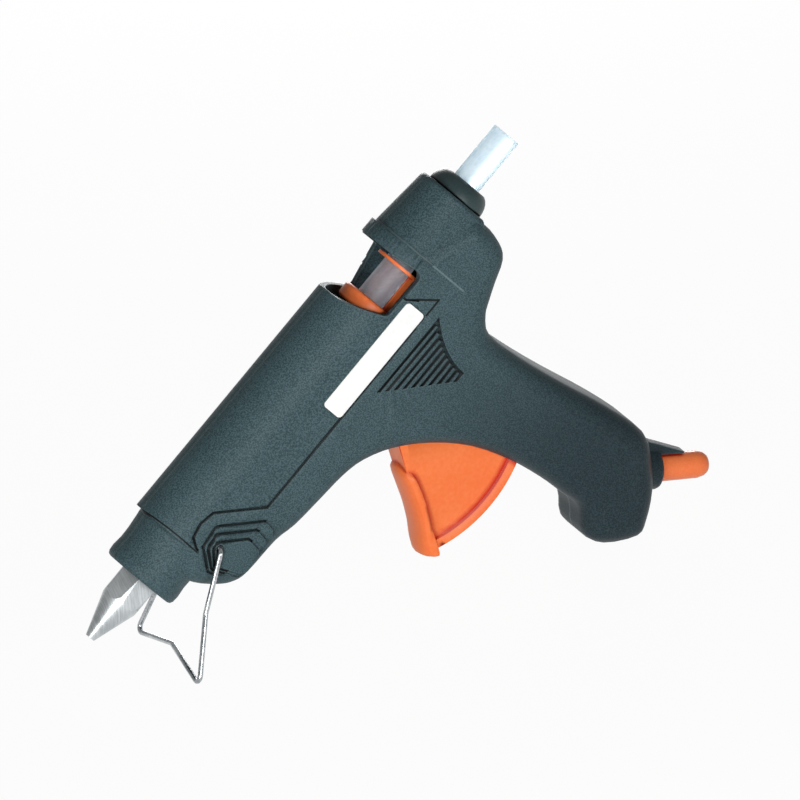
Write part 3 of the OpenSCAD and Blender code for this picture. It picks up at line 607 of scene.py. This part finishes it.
# %% [markdown]
# ## Label
# A strip of plain white film with a clear coat. Film shows a faint ripple from the plastic under it and a
# little dirt along its border, so both are there.

# %% Label film
RIPPLE_MM = 6.0
RIPPLE_RELIEF = 0.03
DIRT_MM = 1.4
DIRT_RANGE = (0.25, 0.75)
DIRT_GLOSS = 0.12
BORDER_GAIN = 2.0
FILM_GLOSS = 0.32
FILM_COAT = 0.25


def label_finish():
    finish, tree = new_finish("label")
    ripple = grain(tree, RIPPLE_MM)
    dirt = grain(tree, DIRT_MM, detail=4.0)
    soft = rounded(tree, SOFT_EDGE)
    border = edges(tree, soft, BORDER_GAIN)
    clean = dirt.share(0.5, ripple).above(*DIRT_RANGE).tint(ink("#EDEEEC"), ink("#F6F7F5"))
    sockets = {
        "Base Color": (border * dirt).held().tint(clean, ink("#C9CCC9")),
        "Roughness": (FILM_GLOSS + dirt * DIRT_GLOSS).held(),
        "Coat Weight": FILM_COAT,
        "Normal": bump(tree, ripple, RIPPLE_RELIEF, soft),
    }
    surface(tree, sockets)
    return finish


finishes["label"] = label_finish()
print("label ready")

# %% [markdown]
# ## Dressing the solids
# The record names a slot for every solid, and each slot has one finish above. A solid made of small flat
# facets could be modelled again, but its shape is right already. So it gets a merged copy whose normals run
# smoothly over shallow edges, which the loose triangles of the frame can't give. The number is the steepest
# edge, in degrees, that still counts as smooth.

# %% Put the finishes on
SMOOTHED = {
    "left_shell": 28, "right_shell": 28, "trigger": 42, "carriage": 35, "glue_stick": 40,
    "wire_stand": 50, "return_spring": 70, "heater_leads": 60, "cord_gland": 40, "rear_guide": 35,
}
MERGE_MM = 0.002
slot_of = {part["node"]: part["material_slot"] for part in frame["record"]["subparts"]}


def smooth_copy(node, angle):
    """A merged copy of a solid, smooth where its faces meet at less than angle, which then stands for it."""
    shape = bmesh.new()
    shape.from_mesh(nodes[node].data)
    bmesh.ops.remove_doubles(shape, verts=shape.verts, dist=MERGE_MM * MM)
    mesh = bpy.data.meshes.new(node + "_moulded")
    shape.to_mesh(mesh)
    shape.free()
    mesh.shade_smooth()
    mesh.set_sharp_from_angle(angle=math.radians(angle))
    piece = bpy.data.objects.new(node + "_moulded", mesh)
    scene.collection.objects.link(piece)
    even = piece.modifiers.new("even_normals", "WEIGHTED_NORMAL")
    even.keep_sharp = True
    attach(piece, nodes[node]["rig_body"])
    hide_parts(node)
    return piece


shown = {}
for name, solid in nodes.items():
    shown[name] = smooth_copy(name, SMOOTHED[name]) if name in SMOOTHED else solid
    shown[name].data.materials.clear()
    shown[name].data.materials.append(finishes[slot_of[name]])
print("dressed", len(nodes), "solids,", len(SMOOTHED), "as smooth copies")

# %% [markdown]
# ## Return spring
# The spring sits between a wall of the housing and the carriage, so it shortens as the lever is pulled. A
# coil can't follow a slide as a rigid piece. Here the spring gets a mesh of its own, and the share of its
# length that it keeps at the carriage's full travel is worked out; it is not squashed here.

# %% Work out the spring's kept length
feed = joints["carriage_feed"]
coils = [back_along.dot(corner.co) for corner in shown["return_spring"].data.vertices]
length_kept = 1 - feed["range_m"][1] / (max(coils) - min(coils))
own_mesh(shown["return_spring"])
print("spring keeps", round(length_kept, 2), "of its length")

# %% [markdown]
# ## Floor
# A white sweep, as in a catalogue. The floor takes the shadow. For the camera and for reflections it is
# mostly plain white, so the shadow stays faint.

# %% Floor
FLOOR_SIDE = 8.0
SHADOW_SHARE = 0.045
PAPER = (0.82, 0.82, 0.82, 1)
WHITE = (1, 1, 1, 1)


def rays(tree):
    """Three signals: 1 for rays from the camera, for reflected ones and for those that go through glue."""
    kinds = ("Is Camera Ray", "Is Glossy Ray", "Is Transmission Ray")
    return [tree.node("ShaderNodeLightPath", out=kind) for kind in kinds]


sweep, tree = new_finish("sweep")
seen, mirrored, through = rays(tree)
plain = (seen + mirrored + through).held() * (1 - SHADOW_SHARE)
paper = tree.node("ShaderNodeBsdfDiffuse", sockets={"Color": PAPER})
white = tree.node("ShaderNodeEmission", sockets={"Color": WHITE, "Strength": 1.0})
mixed = tree.node("ShaderNodeMixShader", sockets={0: plain, 1: paper, 2: white})
tree.node("ShaderNodeOutputMaterial", sockets={"Surface": mixed})

shape = bmesh.new()
bmesh.ops.create_grid(shape, x_segments=1, y_segments=1, size=FLOOR_SIDE / 2)
mesh = bpy.data.meshes.new("floor")
shape.to_mesh(mesh)
shape.free()
mesh.materials.append(sweep)
floor = bpy.data.objects.new("floor", mesh)
scene.collection.objects.link(floor)
print("floor", FLOOR_SIDE, "m wide")

# %% [markdown]
# ## Light
# Two soft lamps stand near the camera, below the middle of the picture, where the photo's light comes from.
# A third one lights the far side. They are placed by the picture's own directions, in metres from its
# middle.

# %% Lamps
LAMPS = {
    "key_lamp": dict(right=0.35, up=-0.2, near=0.85, side=0.35, power=5.2),
    "fill_lamp": dict(right=-0.4, up=-0.32, near=0.8, side=0.35, power=4.3),
    "far_lamp": dict(right=0.0, up=0.45, near=-0.75, side=0.4, power=4.5),
}


def soft_lamp(name, right, up, near, side, power):
    """A square lamp, aimed at the middle of the picture."""
    lamp = bpy.data.lights.new(name, "AREA")
    lamp.energy = power
    lamp.size = side
    holder = bpy.data.objects.new(name, lamp)
    spot = picture_right * right + picture_up * up + to_camera * near
    aim = spot.to_track_quat("Z", "Y").to_matrix().to_4x4()
    holder.matrix_world = Matrix.Translation(middle + spot) @ aim
    scene.collection.objects.link(holder)


for name, setting in LAMPS.items():
    soft_lamp(name, **setting)
print(len(LAMPS), "lamps")

# %% [markdown]
# ## Sky
# An even sky fills the shadows at a low level. The camera sees it plain white, also through the glue, and
# shiny metal mirrors it at a middle level.

# %% Sky
SKY_LEVEL = 0.12
SKY_MIRRORED = 0.45

sky = bpy.data.worlds.new("sky")
scene.world = sky
sky.use_nodes = True
sky.node_tree.nodes.clear()
tree = Signal(sky.node_tree)
seen, mirrored, through = rays(tree)
level = SKY_LEVEL + (seen + through) * (1 - SKY_LEVEL) + mirrored * (SKY_MIRRORED - SKY_LEVEL)
glow = tree.node("ShaderNodeBackground", sockets={"Color": WHITE, "Strength": level})
tree.node("ShaderNodeOutputWorld", sockets={"Surface": glow})
scene.view_settings.view_transform = "Standard"
print("an even sky at", SKY_LEVEL)
